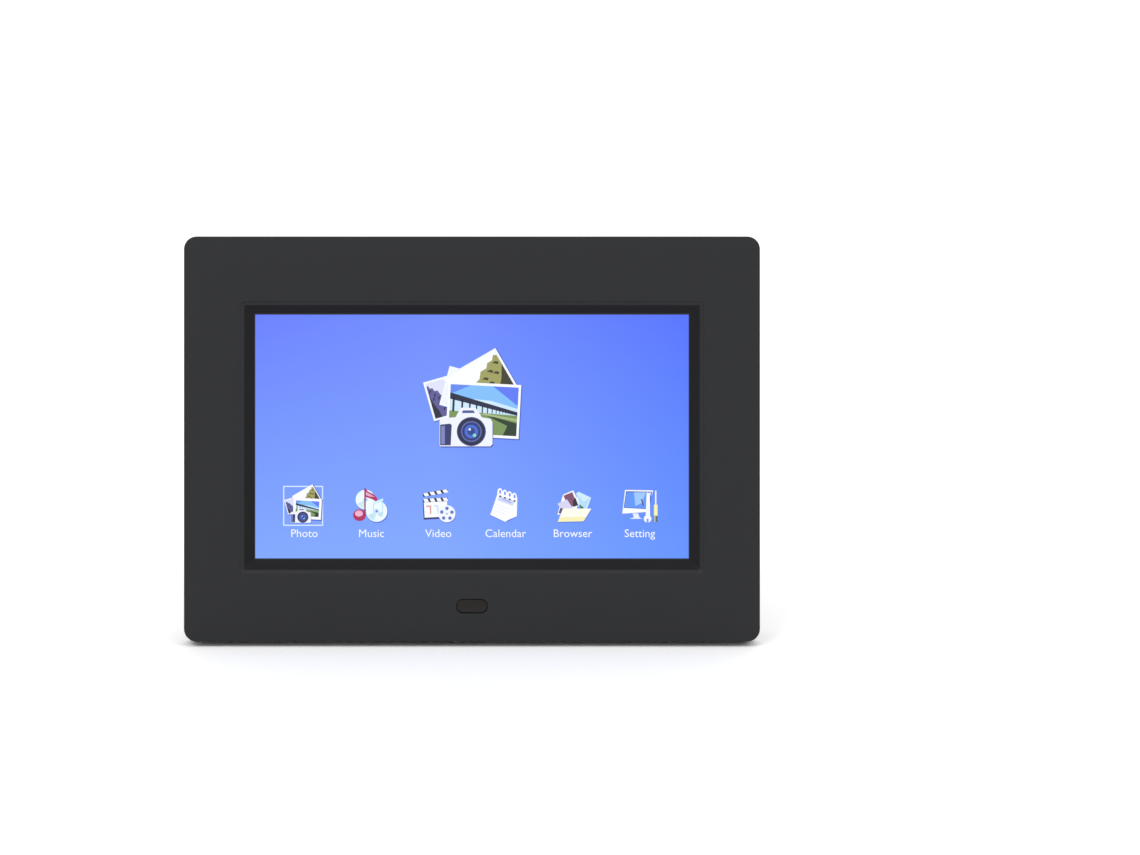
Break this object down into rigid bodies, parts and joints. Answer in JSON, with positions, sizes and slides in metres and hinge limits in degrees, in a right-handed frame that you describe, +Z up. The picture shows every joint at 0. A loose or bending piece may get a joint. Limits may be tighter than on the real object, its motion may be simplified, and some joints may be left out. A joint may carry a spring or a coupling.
{
  "type": "digital photo frame",
  "caption": "Landscape digital photo frame with a sunk lit screen in a wide dark border, rear keys, side ports and a tapered screw-in leg.",
  "frame": {"origin": "middle of the ground rectangle under the standing frame, at the height of the surface it stands on", "axes": "+X runs to the right along the frame seen from the front, +Z is up, the screen faces -Y and leans back 12 degrees, and the leg reaches back along +Y"},
  "size_m": [0.204, 0.1048, 0.1423],
  "materials": {
    "bezel_plastic": "fine spark-textured black ABS, semi-matt",
    "cover_plastic": "slightly coarser textured black ABS",
    "window_plastic": "dark translucent infrared-passing acrylic, polished",
    "label_foil": "blank satin silver polyester label",
    "foam": "closed-cell black foam",
    "zinc_steel": "rolled zinc-plated sheet",
    "screen_glass": "anti-glare polariser over the lit picture",
    "light_films": "clear and milky optical sheets",
    "white_plastic": "white reflective polycarbonate",
    "led_strip": "white strip with yellow LED caps",
    "circuit_board": "green solder mask over copper",
    "flex_film": "amber polyimide with copper lines",
    "chip_plastic": "black moulded epoxy",
    "plated_metal": "bright nickel plating",
    "ivory_plastic": "ivory nylon",
    "black_nylon": "black glass-filled nylon",
    "key_plastic": "satin dark grey ABS",
    "paper_cone": "dark pressed paper with a rubber roll edge",
    "ferrite": "dark grey ferrite with steel cap",
    "wire_jacket": "soft PVC wire jackets",
    "led_epoxy": "clear red epoxy",
    "brass": "machined brass",
    "leg_plastic": "smooth satin black plastic"
  },
  "bodies": {
    "frame": {"front_bezel": "bezel_plastic", "rear_cover": "cover_plastic", "ir_window": "window_plastic", "rating_label": "label_foil", "lcd_gasket": "foam", "lcd_front_frame": "zinc_steel", "lcd_panel": "screen_glass", "lcd_film_stack": "light_films", "lcd_light_guide": "light_films", "lcd_reflector": "white_plastic", "lcd_mid_frame": "white_plastic", "lcd_led_strip": "led_strip", "lcd_back_plate": "zinc_steel", "lcd_brackets": "zinc_steel", "bezel_screws": "zinc_steel", "lcd_ribbon": "flex_film", "backlight_wires": "wire_jacket", "mainboard": "circuit_board", "processor": "chip_plastic", "memory_chip": "chip_plastic", "flash_chip": "chip_plastic", "crystal": "plated_metal", "capacitors": "plated_metal", "inductors": "ferrite", "ribbon_connectors": "ivory_plastic", "wire_connectors": "ivory_plastic", "coin_cell_holder": "black_nylon", "coin_cell": "plated_metal", "usb_port": "plated_metal", "usb_tongue": "black_nylon", "mini_usb_port": "plated_metal", "card_slot": "plated_metal", "headphone_jack": "black_nylon", "dc_jack": "black_nylon", "dc_jack_pin": "plated_metal", "board_screws": "zinc_steel", "key_board": "circuit_board", "key_switches": "black_nylon", "key_ribbon": "flex_film", "speaker_baskets": "zinc_steel", "speaker_cones": "paper_cone", "speaker_magnets": "ferrite", "speaker_gaskets": "foam", "speaker_wires": "wire_jacket", "ir_board": "circuit_board", "ir_receiver": "chip_plastic", "status_led": "led_epoxy", "ir_wires": "wire_jacket", "case_screws": "zinc_steel", "leg_socket_landscape": "brass", "leg_socket_portrait": "brass"},
    "key_power": {"key_power": "key_plastic"},
    "key_menu": {"key_menu": "key_plastic"},
    "key_exit": {"key_exit": "key_plastic"},
    "key_left": {"key_left": "key_plastic"},
    "key_right": {"key_right": "key_plastic"},
    "key_up": {"key_up": "key_plastic"},
    "key_down": {"key_down": "key_plastic"},
    "leg": {"leg": "leg_plastic"}
  },
  "joints": [
    {"name": "press_power", "type": "slide", "parent": "frame", "child": "key_power", "axis": [0, -0.9781, 0.2079], "range_m": [0, 0.0005], "stiffness_N_per_m": 3000, "springref_m": -0.0002},
    {"name": "press_menu", "type": "slide", "parent": "frame", "child": "key_menu", "axis": [0, -0.9781, 0.2079], "range_m": [0, 0.0005], "stiffness_N_per_m": 3000, "springref_m": -0.0002},
    {"name": "press_exit", "type": "slide", "parent": "frame", "child": "key_exit", "axis": [0, -0.9781, 0.2079], "range_m": [0, 0.0005], "stiffness_N_per_m": 3000, "springref_m": -0.0002},
    {"name": "press_left", "type": "slide", "parent": "frame", "child": "key_left", "axis": [0, -0.9781, 0.2079], "range_m": [0, 0.0005], "stiffness_N_per_m": 3000, "springref_m": -0.0002},
    {"name": "press_right", "type": "slide", "parent": "frame", "child": "key_right", "axis": [0, -0.9781, 0.2079], "range_m": [0, 0.0005], "stiffness_N_per_m": 3000, "springref_m": -0.0002},
    {"name": "press_up", "type": "slide", "parent": "frame", "child": "key_up", "axis": [0, -0.9781, 0.2079], "range_m": [0, 0.0005], "stiffness_N_per_m": 3000, "springref_m": -0.0002},
    {"name": "press_down", "type": "slide", "parent": "frame", "child": "key_down", "axis": [0, -0.9781, 0.2079], "range_m": [0, 0.0005], "stiffness_N_per_m": 3000, "springref_m": -0.0002},
    {"name": "leg_unscrew", "type": "slide", "parent": "frame", "child": "leg", "axis": [0, 0.7431, -0.6691], "range_m": [0, 0.016]}
  ]
}
